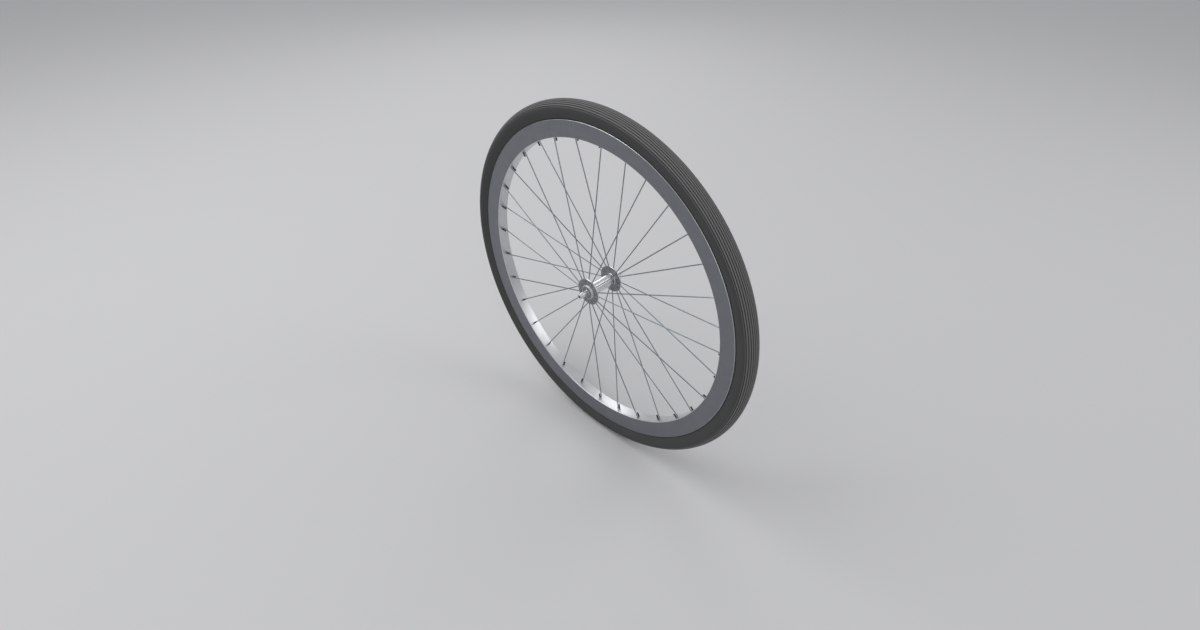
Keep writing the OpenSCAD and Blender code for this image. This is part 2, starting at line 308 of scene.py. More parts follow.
    @staticmethod
    def smooth(piece: Piece, degrees: float = 32.0) -> None:
        """Shades a piece smooth, and keeps edges sharper than an angle."""
        Bench.pick(piece)
        bpy.ops.object.shade_smooth_by_angle(angle=math.radians(degrees))

    @staticmethod
    def paint(
        piece: Piece, base: bpy.types.Material, *others: tuple[bpy.types.Material, FaceTest]
    ) -> None:
        """Gives a piece its material, and others to the faces that a test picks.

        Args:
            piece: The piece.
            base: Material of every face that no test picks.
            others: Materials, each with a test for a face's centre and normal.
        """
        piece.data.materials.clear()
        piece.data.materials.append(base)
        for number, (material, wanted) in enumerate(others, start=1):
            piece.data.materials.append(material)
            for face in piece.data.polygons:
                if wanted(face.center, face.normal):
                    face.material_index = number


# Finishes


def shade(colour: Colour, factor: float) -> Colour:
    """Makes a colour lighter or darker."""
    return tuple(min(1.0, channel * factor) for channel in colour)


class Graph:
    """A material's node tree, with short ways to add and join nodes."""

    def __init__(self, name: str) -> None:
        """Starts a material that holds a Principled shader.

        Args:
            name: Name of the material.
        """
        self.material = bpy.data.materials.new(name)
        self.material.use_nodes = True
        self.tree = self.material.node_tree
        self.shader = self.tree.nodes["Principled BSDF"]

    def add(self, kind: str, **settings: object) -> bpy.types.Node:
        """Adds a node.

        Args:
            kind: Type of the node.
            settings: Properties to set on it.

        Returns:
            The node.
        """
        node = self.tree.nodes.new(kind)
        for name, value in settings.items():
            setattr(node, name, value)
        return node

    def join(self, source: Socket, target: Socket) -> None:
        """Joins an output to an input."""
        self.tree.links.new(source, target)

    def feed(self, slot: Socket, value: object) -> None:
        """Sets an input, or joins it to an output.

        Args:
            slot: The input.
            value: A number, the four channels of a colour, or an output.
        """
        if isinstance(value, Socket):
            self.join(value, slot)
        else:
            slot.default_value = value

    def filled(self, node: bpy.types.Node, values: Iterable[object]) -> Socket:
        """Feeds a node's inputs in order.

        Args:
            node: The node.
            values: What its inputs get.

        Returns:
            The node's first output.
        """
        for slot, value in zip(node.inputs, values):
            self.feed(slot, value)
        return node.outputs[0]

    def maths(self, operation: str, *values: float | Socket) -> Socket:
        """Works out one operation on numbers or outputs."""
        return self.filled(self.add("ShaderNodeMath", operation=operation), values)

    def vector(self, x: float | Socket, y: float | Socket, z: float | Socket) -> Socket:
        """Puts three numbers or outputs into one vector."""
        return self.filled(self.add("ShaderNodeCombineXYZ"), (x, y, z))

    def length(self, x: Socket, y: Socket) -> Socket:
        """Length of a flat vector."""
        squares = self.maths("ADD", self.maths("MULTIPLY", x, x), self.maths("MULTIPLY", y, y))
        return self.maths("SQRT", squares)

    def place(self) -> Socket:
        """Position on the object, in metres."""
        return self.add("ShaderNodeTexCoord").outputs["Object"]

    def cylindrical(self) -> tuple[Socket, Socket, Socket]:
        """Position on the object, read round the axle.

        Returns:
            Radius from the axle, angle round it and distance along it.
        """
        split = self.add("ShaderNodeSeparateXYZ")
        self.join(self.place(), split.inputs[0])
        x, y, z = split.outputs
        return self.length(x, z), self.maths("ARCTAN2", z, x), y

    def noise(self, where: Socket, scale: float, detail: float = 3.0) -> Socket:
        """Adds noise that reads a vector.

        Args:
            where: The vector that it reads.
            scale: Cells to a metre.
            detail: Number of finer layers.

        Returns:
            Noise from 0 to 1.
        """
        node = self.add("ShaderNodeTexNoise")
        node.inputs["Scale"].default_value = scale
        node.inputs["Detail"].default_value = detail
        self.join(where, node.inputs["Vector"])
        return node.outputs["Fac"]

    def remap(
        self, source: Socket, reach: Point, onto: Point = (0.0, 1.0), **settings: object
    ) -> Socket:
        """Maps one range onto another.

        Args:
            source: The output to map.
            reach: Low and high end of the range that it comes from.
            onto: Low and high end of the range that it gets.
            settings: Properties of the node.

        Returns:
            The mapped output.
        """
        node = self.add("ShaderNodeMapRange", **settings)
        for name, value in zip(("From Min", "From Max", "To Min", "To Max"), (*reach, *onto)):
            node.inputs[name].default_value = value
        self.join(source, node.inputs["Value"])
        return node.outputs["Result"]

    def spread(self, source: Socket, low: float = 0.0, high: float = 1.0) -> Socket:
        """Maps noise round its middle onto a range."""
        return self.remap(source, NOISE_REACH, (low, high))

    def step(self, source: Socket, start: float, end: float) -> Socket:
        """Rises smoothly from 0 to 1 between two values."""
        return self.remap(source, (start, end), interpolation_type="SMOOTHSTEP")

    def blend(self, share: Socket, low: Colour | Socket, high: Colour | Socket) -> Socket:
        """Mixes two colours.

        Args:
            share: Share of the second colour, from 0 to 1.
            low: First colour, or an output that holds it.
            high: Second colour, or an output that holds it.

        Returns:
            The mixed colour.
        """
        node = self.add("ShaderNodeMix", data_type="RGBA")
        slots = [slot for slot in node.inputs if slot.type == "RGBA"]
        for slot, colour in zip(slots, (low, high)):
            self.feed(slot, colour if isinstance(colour, Socket) else (*colour, 1.0))
        self.join(share, node.inputs["Factor"])
        return next(slot for slot in node.outputs if slot.type == "RGBA")

    def tint(self, share: Socket, colour: Colour, dark: float, pale: float) -> Socket:
        """Runs from a darker to a paler shade of one colour by a share from 0 to 1."""
        return self.blend(share, shade(colour, dark), shade(colour, pale))

    def coat(self, colour: object, roughness: object, metallic: float = 0.0) -> None:
        """Gives the shader its colour, roughness and share of metal.

        Args:
            colour: Four channels or an output.
            roughness: A number or an output.
            metallic: 0 for none, 1 for bare metal.
        """
        self.feed(self.shader.inputs["Base Color"], colour)
        self.feed(self.shader.inputs["Roughness"], roughness)
        self.shader.inputs["Metallic"].default_value = metallic

    def bump(self, height: Socket, distance: float, strength: float = 1.0) -> None:
        """Raises the surface by a height from 0 to 1.

        Args:
            height: Height of the pattern.
            distance: Height in metres that 1 stands for.
            strength: Share of the effect.
        """
        node = self.add("ShaderNodeBump")
        node.inputs["Distance"].default_value = distance
        node.inputs["Strength"].default_value = strength
        self.join(height, node.inputs["Height"])
        before = self.shader.inputs["Normal"].links
        if before:
            self.join(before[0].from_socket, node.inputs["Normal"])
        self.join(node.outputs["Normal"], self.shader.inputs["Normal"])


@dataclass(frozen=True)
class Finish:
    """A finish: its name, its main colour and its roughness."""

    name: str
    colour: Colour
    roughness: float

    def draw(self, graph: Graph) -> None:
        """Adds the nodes of this kind of finish."""
        raise NotImplementedError

    def uneven(self, graph: Graph, pattern: Socket, share: float) -> Socket:
        """Roughness that a pattern raises and lowers by a share of itself."""
        return graph.spread(pattern, self.roughness * (1 - share), self.roughness * (1 + share))

    def build(self) -> bpy.types.Material:
        """Makes the material.

        Returns:
            The material.
        """
        graph = Graph(self.name)
        self.draw(graph)
        return graph.material


@dataclass(frozen=True)
class TurnedMetal(Finish):
    """Metal cut on a lathe or rolled into a hoop: fine lines run round the axle."""

    line_scale: float = 2600.0
    line_height: float = 0.004 * MM
    line_drift: float = 0.6 * MM
    cloud_scale: float = 60.0
    mottle: float = 0.08
    metallic: float = 1.0

    def draw(self, graph: Graph) -> None:
        """Adds the turned lines and a faint mottle.

        Args:
            graph: The material's nodes.
        """
        radius, angle, along = graph.cylindrical()
        drift = graph.maths("MULTIPLY", angle, self.line_drift)
        lines = graph.noise(graph.vector(radius, drift, along), self.line_scale, 2.0)
        cloud = graph.noise(graph.place(), self.cloud_scale, 4.0)
        colour = graph.tint(graph.spread(cloud), self.colour, 1.0 - self.mottle, 1.0 + self.mottle)
        graph.coat(colour, self.uneven(graph, lines, 0.15), self.metallic)
        graph.bump(lines, self.line_height)


@dataclass(frozen=True)
class DrawnSteel(Finish):
    """Wire drawn through a die: faint streaks run along each spoke."""

    streak_scale: float = 3800.0
    streak_height: float = 0.003 * MM
    stretch: float = 0.02
    stain_scale: float = 140.0

    def draw(self, graph: Graph) -> None:
        """Adds the streaks and faint stains.

        Args:
            graph: The material's nodes.
        """
        radius, angle, along = graph.cylindrical()
        across = graph.maths("MULTIPLY", angle, radius)
        lengthwise = graph.maths("MULTIPLY", radius, self.stretch)
        streaks = graph.noise(graph.vector(across, along, lengthwise), self.streak_scale, 2.0)
        stains = graph.noise(graph.vector(lengthwise, angle, along), self.stain_scale)
        colour = graph.tint(graph.spread(stains), self.colour, 0.88, 1.1)
        graph.coat(colour, self.uneven(graph, streaks, 0.25), 1.0)
        graph.bump(streaks, self.streak_height)


@dataclass(frozen=True)
class PlatedMetal(Finish):
    """Plated or tumbled small metal: a soft, slightly uneven skin."""

    grain: float = 1400.0
    cloud_share: float = 0.15
    height: float = 0.006 * MM

    def draw(self, graph: Graph) -> None:
        """Adds the grain and a coarser clouding.

        Args:
            graph: The material's nodes.
        """
        grain = graph.noise(graph.place(), self.grain, 4.0)
        cloud = graph.noise(graph.place(), self.grain * self.cloud_share, 2.0)
        colour = graph.tint(graph.spread(cloud), self.colour, 0.85, 1.15)
        graph.coat(colour, self.uneven(graph, grain, 0.2), 1.0)
        graph.bump(grain, self.height)


@dataclass(frozen=True)
class Rubber(Finish):
    """Moulded rubber: matt, with a fine grain and faint clouding."""

    grain: float = 900.0
    cloud_scale: float = 28.0
    cloud_share: float = 0.7
    height: float = 0.03 * MM

    def draw(self, graph: Graph) -> None:
        """Adds the grain and the clouding.

        Args:
            graph: The material's nodes.
        """
        grain = graph.noise(graph.place(), self.grain, 5.0)
        cloud = graph.noise(graph.place(), self.cloud_scale, 4.0)
        clouding = graph.spread(cloud, 0.0, self.cloud_share)
        share = graph.maths("ADD", clouding, graph.spread(grain, 0.0, 1.0 - self.cloud_share))
        colour = graph.tint(share, self.colour, 0.82, 1.2)
        graph.coat(colour, self.uneven(graph, cloud, 0.08))
        graph.bump(grain, self.height)


@dataclass(frozen=True)
class TreadRubber(Finish):
    """Tyre rubber whose ribs are painted paler than its sidewalls, as painted light, and whose
    grooves are painted darker, as painted shade.
    """

    # Rib colour: the rubber made paler, as painted light
    rib: Colour
    # Groove colour: the rubber made darker, as painted shade
    groove: Colour
    crown_c: Point
    crown_r: float
    tread_r: Point
    # Depths under the crown over which the grooves' painted shade comes in
    groove_shade_fade: Point = (0.2 * MM, 0.7 * MM)
    roughness_swing: float = 0.04
    gloss: float = 0.3
    grain_height: float = 0.03 * MM
    ring_height: float = 0.02 * MM

    def draw(self, graph: Graph) -> None:
        """Adds the tread, with painted light on its ribs and painted shade in its grooves, the
        sidewalls and the moulding's grain and rings.

        Args:
            graph: The material's nodes.
        """
        radius, _, along = graph.cylindrical()
        grain = graph.noise(graph.place(), 1100.0, 5.0)
        cloud = graph.noise(graph.place(), 24.0, 4.0)
        rings = graph.noise(graph.vector(radius, 0.0, along), 700.0, 2.0)
        out = graph.maths("SUBTRACT", radius, self.crown_c[0])
        depth = graph.maths("SUBTRACT", self.crown_r, graph.length(out, along))
        # Where the grooves' painted shade comes in, by depth under the crown
        groove_shade_share = graph.step(depth, *self.groove_shade_fade)
        on_tread = graph.step(radius, *self.tread_r)
        wall = graph.tint(graph.spread(cloud), self.colour, 0.93, 1.07)
        # Painted light: the ribs are paler than the sidewalls
        rib = graph.tint(graph.spread(grain), self.rib, 0.88, 1.12)
        # Painted shade: the grooves are darker than the sidewalls
        groove = graph.tint(graph.spread(cloud), self.groove, 0.9, 1.1)
        low, high = self.roughness - self.roughness_swing, self.roughness + self.roughness_swing
        colour = graph.blend(on_tread, wall, graph.blend(groove_shade_share, rib, groove))
        graph.coat(colour, graph.spread(cloud, low, high))
        graph.shader.inputs["Specular IOR Level"].default_value = self.gloss
        graph.bump(grain, self.grain_height)
        graph.bump(rings, self.ring_height, 0.6)


@dataclass(frozen=True)
class Plastic(Finish):
    """Moulded plastic with a fine spark-eroded grain."""

    grain: float = 2500.0
    height: float = 0.01 * MM

    def draw(self, graph: Graph) -> None:
        """Adds the grain.

        Args:
            graph: The material's nodes.
        """
        grain = graph.noise(graph.place(), self.grain)
        colour = graph.tint(graph.spread(grain), self.colour, 0.85, 1.15)
        graph.coat(colour, self.uneven(graph, grain, 0.1))
        graph.bump(grain, self.height)


@dataclass(frozen=True)
class WovenTape(Finish):
    """Cloth tape woven in a plain weave, laid round the rim."""

    thread: float = 0.7 * MM
    height: float = 0.1 * MM

    def draw(self, graph: Graph) -> None:
        """Adds the weave, with painted shade in its hollows and painted light on its raised
        crossings.

        Args:
            graph: The material's nodes.
        """
        wave = math.pi / self.thread
        radius, angle, along = graph.cylindrical()
        round_it = graph.maths("MULTIPLY", angle, graph.maths("MULTIPLY", radius, wave))
        across = graph.maths("MULTIPLY", along, wave)
        weave = graph.maths(
            "MULTIPLY", graph.maths("SINE", round_it), graph.maths("SINE", across)
        )
        height = graph.maths("MULTIPLY_ADD", weave, 0.5, 0.5)
        # Painted shade and light: the colour darkens in the weave's hollows and pales on its raised
        # crossings
        graph.coat(graph.tint(height, self.colour, 0.7, 1.25), self.roughness)
        graph.bump(height, self.height)


# Painted shade: a darker, rougher copy of the rim's bright metal, for its flat sides
RIM_SIDE_PAINTED_SHADE = TurnedMetal(
    "rim_side_painted_shade", (0.224, 0.234, 0.253), 0.42, line_height=0.0015 * MM, mottle=0.04
)
RIM_BRIGHT = TurnedMetal(
    "rim_bright", (0.66, 0.67, 0.69), 0.36, line_height=0.0006 * MM, mottle=0.03
)
HUB_POLISHED = TurnedMetal(
    "hub_polished", (0.78, 0.79, 0.805), 0.27, line_height=0.0005 * MM, mottle=0.03
)
# Painted shade: a darker, rougher copy of the polished hub metal, for the flanges' flat faces
HUB_FLANGE_PAINTED_SHADE = TurnedMetal("hub_flange_painted_shade", (0.25, 0.254, 0.266), 0.38, line_height=0.001 * MM)
# Painted highlight: a pale, half-metal coat that keeps the end bosses bright
HUB_BOSS_PAINTED_HIGHLIGHT = TurnedMetal(
    "hub_boss_painted_highlight", (0.86, 0.87, 0.88), 0.3, line_height=0.0005 * MM, mottle=0.03, metallic=0.6
)
CAP_METAL = TurnedMetal("cap_metal", (0.80, 0.81, 0.825), 0.2, line_height=0.0006 * MM)
SHIELD_METAL = TurnedMetal("shield_metal", (0.25, 0.255, 0.27), 0.36, line_height=0.001 * MM)
AXLE_METAL = TurnedMetal("axle_metal", (0.72, 0.73, 0.75), 0.22, line_height=0.0006 * MM)
SPACER_METAL = TurnedMetal("spacer_metal", (0.62, 0.62, 0.63), 0.35)
RACE_STEEL = TurnedMetal("race_steel", (0.56, 0.56, 0.58), 0.14)
BALL_STEEL = PlatedMetal("ball_steel", (0.74, 0.74, 0.76), 0.06, height=0.001 * MM)
SLEEVE_METAL = PlatedMetal("sleeve_metal", (0.60, 0.60, 0.62), 0.4)
SPOKE_STEEL = DrawnSteel("spoke_steel", (0.27, 0.30, 0.33), 0.32)
NIPPLE_PLATE = PlatedMetal("nipple_plate", (0.06, 0.066, 0.076), 0.42)
VALVE_PLATE = PlatedMetal("valve_plate", (0.66, 0.66, 0.67), 0.2)
VALVE_BRASS = PlatedMetal("valve_brass", (0.62, 0.45, 0.2), 0.28)
STEM_RUBBER = Rubber("stem_rubber", (0.026, 0.026, 0.028), 0.6)
CAGE_PLASTIC = Plastic("cage_plastic", (0.42, 0.3, 0.16), 0.5)
SEAL_RUBBER = Rubber("seal_rubber", (0.03, 0.03, 0.032), 0.55)
TUBE_RUBBER = Rubber("tube_rubber", (0.028, 0.028, 0.03), 0.6)
RIM_TAPE = WovenTape("rim_tape_cloth", (0.1, 0.1, 0.11), 0.85)


# The wheel


@dataclass
class RimHoop:
    """The rim: a double-walled hoop with hooked lips, drilled for the nipples and the valve."""

    edge_r: float = 316.0 * MM
    edge_y: float = 13.65 * MM
    face_y: float = 11.65 * MM
    depth: float = 31.8 * MM
    flange_h: float = 5.0 * MM
    well_depth: float = 5.5 * MM
    wall: float = 1.5 * MM
    spoke_wall: float = 1.8 * MM
    lip_t: float = 2.3 * MM
    bead_t: float = 3.6 * MM
    corner_r: float = 1.2 * MM
    nipple_hole_r: float = 1.85 * MM
    access_hole_r: float = 3.85 * MM
    valve_hole_r: float = 4.1 * MM
    bevel_run: float = 4.0 * MM
    drill_past: float = 2.0 * MM
    drill_sides: int = 24
    steps: int = 320

    @property
    def face_r(self) -> float:
        """Radius of the face that the spokes meet."""
        return self.edge_r - self.depth

    @property
    def floor_r(self) -> float:
        """Radius of the chamber's floor, on which the nipples sit."""
        return self.face_r + self.spoke_wall

    @property
    def seat_r(self) -> float:
        """Radius of the tyre's bead seat."""
        return self.edge_r - self.flange_h

    @property
    def well_r(self) -> float:
        """Radius of the well between the bead seats."""
        return self.seat_r - self.well_depth

    @property
    def lip_y(self) -> float:
        """Half width between the two lips."""
        return self.edge_y - self.lip_t

    @property
    def bead_y(self) -> float:
        """Half width between the rim's walls at the bead seats."""
        return self.edge_y - self.wall

    @property
    def shelf_y(self) -> float:
        """Half width between the bead seats."""
        return self.bead_y - self.bead_t

    def side_y(self, radius: float) -> float:
        """Half width of the rim's flat side at a radius."""
        return self.face_y + (self.edge_y - self.face_y) * (radius - self.face_r) / self.depth

    def outline(self) -> list[Point]:
        """Draws the outside of the section.

        Returns:
            The closed outline.
        """
        well_y = self.shelf_y - self.wall
        lip_c = (self.edge_r - self.lip_t / 2, self.edge_y - self.lip_t / 2)
        corner_c = (self.face_r + self.corner_r, self.side_y(self.face_r) - self.corner_r)
        return both_halves(
            [
                (self.well_r, 0.0),
                (self.well_r, well_y),
                (self.seat_r, self.shelf_y),
                (self.seat_r, self.bead_y),
                (self.edge_r - self.lip_t - 0.8 * MM, self.bead_y),
                (self.edge_r - self.lip_t, self.lip_y),
                *arc(lip_c, self.lip_t / 2, -90.0, 88.0, 10),
                (self.edge_r - self.bevel_run, self.side_y(self.edge_r - self.bevel_run)),
                (self.face_r + self.bevel_run, self.side_y(self.face_r + self.bevel_run)),
                *arc(corner_c, self.corner_r, 92.0, 180.0, 7),
                (self.face_r, 0.0),
            ]
        )

    def chamber(self) -> list[Point]:
        """Draws the hollow between the two walls.

        Returns:
            The closed outline.
        """
        well_y = self.shelf_y - self.wall
        top = self.well_r - self.wall
        shelf = self.seat_r - self.wall
        return both_halves(
            [
                (top, 0.0),
                (top, well_y),
                (shelf, self.shelf_y),
                (shelf, self.side_y(shelf) - self.wall),
                (self.floor_r, self.side_y(self.floor_r) - self.wall),
                (self.floor_r, 0.0),
            ]
        )

    def drill(self, radius: float, start: float, end: float, slope: float = 0.0) -> Piece:
        """Makes a drill that stands on the X axis.

        Args:
            radius: Radius of the drill.
            start: Distance of its near end from the axle.
            end: Distance of its far end from the axle.
            slope: Lean about the chamber's floor, in radians.

        Returns:
            The drill.
        """
        near, far = start - self.floor_r, end - self.floor_r
        outline = [(0.0, near), (radius, near), (radius, far), (0.0, far)]
        bit = Bench.turned("drill", outline, self.drill_sides)
        Bench.settle(bit, rotation=(0.0, 0.0, -math.pi / 2))
        Bench.settle(bit, rotation=(0.0, 0.0, -slope), place=(self.floor_r, 0.0, 0.0))
        return bit

    def build(self, spokes: "SpokeSet") -> Piece:
        """Models the rim.

        Args:
            spokes: The spokes, whose lines the nipple holes follow.

        Returns:
            The rim, drilled.
        """
        hoop = Bench.turned("rim_hoop", self.outline(), self.steps)
        Bench.combine(hoop, Bench.turned("chamber", self.chamber(), self.steps), "DIFFERENCE")
        drills = []
        below, above = self.face_r - self.drill_past, self.well_r + MM
        for number in range(spokes.count):
            slope = spokes.slope(spokes.leaves(number))
            nipple_drill = self.drill(
                self.nipple_hole_r, below, self.floor_r + self.drill_past, slope
            )
            access_drill = self.drill(
                self.access_hole_r, self.well_r - self.wall - self.drill_past, above
            )
            for bit in (nipple_drill, access_drill):
                Bench.settle(bit, mirrored=spokes.side(number) is Side.RIGHT)
                Bench.settle(bit, rotation=(0.0, -spokes.angle(number), 0.0))
                drills.append(bit)
        valve_drill = self.drill(self.valve_hole_r, below, above)
        Bench.settle(valve_drill, rotation=(0.0, -spokes.valve_angle, 0.0))
        drills.append(valve_drill)
        Bench.combine(hoop, Bench.join(drills, "drills"), "DIFFERENCE")
        Bench.smooth(hoop)
        return hoop

    def dress(self, hoop: Piece) -> None:
        """Gives the rim's flat sides a darker, rougher copy of its metal, as painted shade, and a
        bright lip and spoke face.

        Args:
            hoop: The rim.
        """
        flat = 0.97
        inner, outer = self.face_r + self.corner_r * 0.6, self.edge_r - self.lip_t * 0.15

        def on_side(centre: Vector, normal: Vector) -> bool:
            """Whether a face lies on the flat side between the lip and the spoke face."""
            upright = abs(normal.y) > flat and abs(centre.y) > self.face_y - MM
            return upright and inner < from_axle(centre) < outer

        # The flat sides take the darker copy of the metal, as painted shade
        Bench.paint(hoop, RIM_BRIGHT.build(), (RIM_SIDE_PAINTED_SHADE.build(), on_side))


@dataclass
class SpokeSet:
    """32 spokes laced straight out from the hub, and their nipples."""

    rim: RimHoop
    count: int = 32
    radius: float = 1.0 * MM
    hole_r: float = 21.5 * MM
    flange_face: float = 31.0 * MM
    flange_t: float = 2.8 * MM
    elbow_inset: float = 0.5 * MM
    bend_r: float = 2.0 * MM
    bend_steps: int = 9
    head_r: float = 1.9 * MM
    head_h: float = 1.5 * MM
    # Rings of the head, each with its share of the head's height and of its radius
    head_rings: tuple[Point, ...] = (
        (0.0, 0.45), (0.12, 0.66), (0.3, 0.84), (0.55, 0.97), (0.75, 1.0), (1.0, 0.96)
    )
    # Shares of the straight run at which it gets a ring, then the last one, which narrows
    run_rings: tuple[float, ...] = (0.02, 0.48, 0.48)
    tip_share: float = 0.02
    tip_scale: float = 0.8
    seat_gap: float = 0.05 * MM
    past_floor: float = 2.0 * MM
    nipple_show: float = 8.0 * MM
    nipple_r: float = 1.6 * MM
    nipple_flat: float = 1.35 * MM
    nipple_head_r: float = 2.6 * MM
    nipple_sides: int = 24
    sides: int = 20

    @property
    def valve_angle(self) -> float:
        """Angle of the gap between two spokes in which the valve stands."""
        return 3.5 * FULL_TURN / self.count

    @property
    def flange_mid(self) -> float:
        """Distance of a flange's middle from the wheel's middle plane."""
        return self.flange_face - self.flange_t / 2

    def angle(self, number: int) -> float:
        """Angle of a spoke round the axle."""
        return number * FULL_TURN / self.count

    def side(self, number: int) -> Side:
        """Flange that holds a spoke."""
        return Side.RIGHT if number % 2 == 0 else Side.LEFT

    def leaves(self, number: int) -> Exit:
        """Face of its flange at which a spoke leaves."""
        return Exit.OUTSIDE if number // 2 % 2 == 0 else Exit.INSIDE

    def elbow_y(self, leaves: Exit) -> float:
        """Distance from the middle plane at which the elbow starts."""
        return self.flange_mid + leaves.value * (self.flange_t / 2 - self.elbow_inset)

    def slope(self, leaves: Exit) -> float:
        """Works out the slope of a spoke down to the middle of the rim.

        Args:
            leaves: Face of the flange at which it leaves.

        Returns:
            The slope, in radians.
        """
        across = self.rim.floor_r - self.hole_r - self.bend_r
        down = self.elbow_y(leaves)
        bend = math.asin(self.bend_r / math.hypot(across, down))
        return math.atan2(down, across) + leaves.value * bend

    def ring(self, scale: float, along: Place, centre: Vector) -> Vector:
        """Extrudes the selected ring and scales it about its new centre.

        Args:
            scale: Scale of the new ring.
            along: Move of the new ring.
            centre: Centre of the ring that is extruded.

        Returns:
            Centre of the new ring.
        """
        bpy.ops.mesh.extrude_region_move(TRANSFORM_OT_translate={"value": along})
        moved = centre + Vector(along)
        if scale != 1.0:
            bpy.ops.transform.resize(value=(scale, scale, scale), center_override=moved)
        return moved

    def spoke(self, leaves: Exit) -> Piece:
        """Models one spoke on the X axis, held by the left flange.

        Args:
            leaves: Face of the flange at which it leaves.

        Returns:
            The spoke.
        """
        turn, slope = leaves.value, self.slope(leaves)
        seat = self.flange_mid - turn * (self.flange_t / 2 + self.seat_gap)
        at = Vector((self.hole_r, seat - turn * self.head_h, 0.0))
        (_, share), *rings = self.head_rings
        Bench.clear()
        bpy.ops.mesh.primitive_circle_add(
            vertices=self.sides, radius=self.head_r * share, fill_type="NGON",
            location=tuple(at), rotation=(math.pi / 2, 0.0, 0.0),
        )
        wire = bpy.context.object
        bpy.ops.object.transform_apply(location=True, rotation=True, scale=True)
        bpy.ops.object.mode_set(mode="EDIT")
        bpy.ops.mesh.select_mode(type="FACE")
        bpy.ops.mesh.select_all(action="SELECT")
        for height, grown in rings:
            target = seat - turn * self.head_h * (1.0 - height)
            at = self.ring(grown / share, (0.0, target - at.y, 0.0), at)
            share = grown
        at = self.ring(self.radius / (self.head_r * share), (0.0, 0.0, 0.0), at)
        at = self.ring(1.0, (0.0, self.elbow_y(leaves) - at.y, 0.0), at)
        bpy.ops.mesh.spin(
            steps=self.bend_steps, angle=-turn * (math.pi / 2 + turn * slope),
            center=(self.hole_r + self.bend_r, at.y, 0.0), axis=(0.0, 0.0, 1.0),
        )
        end = Vector((
            self.hole_r + self.bend_r + turn * self.bend_r * math.sin(slope),
            at.y + turn * self.bend_r * math.cos(slope), 0.0,
        ))
        run = (Vector((self.rim.floor_r, 0.0, 0.0)) - end).length + self.past_floor
        direction = Vector((math.cos(slope), -math.sin(slope), 0.0))
        for part in self.run_rings:
            end = self.ring(1.0, tuple(direction * run * part), end)
        self.ring(self.tip_scale, tuple(direction * run * self.tip_share), end)
        Bench.seal()
        bpy.ops.object.mode_set(mode="OBJECT")
        Bench.smooth(wire, 40.0)
        return wire

    def nipple(self) -> Piece:
        """Models one nipple along the X axis, with the chamber's floor at the origin.

        Returns:
            The nipple.
        """
        wall, seat = self.rim.spoke_wall, 0.15 * MM
        bore = self.radius + self.seat_gap
        low, top = -wall - self.nipple_show, -wall - 0.3 * MM
        outline = [(bore, low), (self.nipple_r - 0.45 * MM, low)]
        outline += [(self.nipple_r, low + 0.6 * MM), (self.nipple_r, top), (bore, top)]
        shank = Bench.turned("nipple", outline, self.nipple_sides)
        bpy.ops.object.mode_set(mode="EDIT")
        for normal in ((1, 0, 0), (-1, 0, 0), (0, 0, 1), (0, 0, -1)):
            bpy.ops.mesh.select_all(action="SELECT")
            bpy.ops.mesh.bisect(
                plane_co=tuple(self.nipple_flat * axis for axis in normal), plane_no=normal,
                use_fill=True, clear_outer=True,
            )
        Bench.seal()
        bpy.ops.object.mode_set(mode="OBJECT")
        collar_low, rise = -wall - 1.2 * MM, self.nipple_head_r - self.nipple_r
        head_top = seat + rise + 1.5 * MM
        outline = [(bore, collar_low), (self.nipple_flat, collar_low)]
        outline += [(self.nipple_r, collar_low + 0.5 * MM), (self.nipple_r, seat)]
        outline += [(self.nipple_head_r, seat + rise), (self.nipple_head_r, head_top - 0.5 * MM)]
        outline += [(self.nipple_head_r - 0.6 * MM, head_top), (bore, head_top)]
        collar = Bench.turned("collar", outline, self.nipple_sides)
        Bench.combine(shank, collar, "UNION")
        Bench.settle(shank, rotation=(0.0, 0.0, -math.pi / 2))
        Bench.smooth(shank, 30.0)
        return shank

    def build(self) -> tuple[list[Piece], dict[Side, Piece]]:
        """Models every spoke and nipple.

        Returns:
            The spokes in order, and the nipples of each side as one piece.
        """
        spokes: list[Piece] = []
        nipples: dict[Side, list[Piece]] = {side: [] for side in Side}
        wires = {leaves: self.spoke(leaves) for leaves in Exit}
        nut = self.nipple()
        for number in range(self.count):
            side, leaves = self.side(number), self.leaves(number)
            wire = Bench.copy(wires[leaves], f"wire_spoke_{number + 1:02d}")
            nipple = Bench.copy(nut, "nipple_copy")
            lean, seat = (0.0, 0.0, -self.slope(leaves)), (self.rim.floor_r, 0.0, 0.0)
            Bench.settle(nipple, rotation=lean, place=seat)
            for piece in (wire, nipple):
                if side is Side.RIGHT:
                    Bench.settle(piece, mirrored=True)
                Bench.settle(piece, rotation=(0.0, -self.angle(number), 0.0))
            spokes.append(wire)
            nipples[side].append(nipple)
        for master in (*wires.values(), nut):
            bpy.data.objects.remove(master)
        joined = {
            side: Bench.join(group, f"{side.name.lower()}_nipple_set")
            for side, group in nipples.items()
        }
        for piece in joined.values():
            Bench.smooth(piece, 30.0)
        return spokes, joined


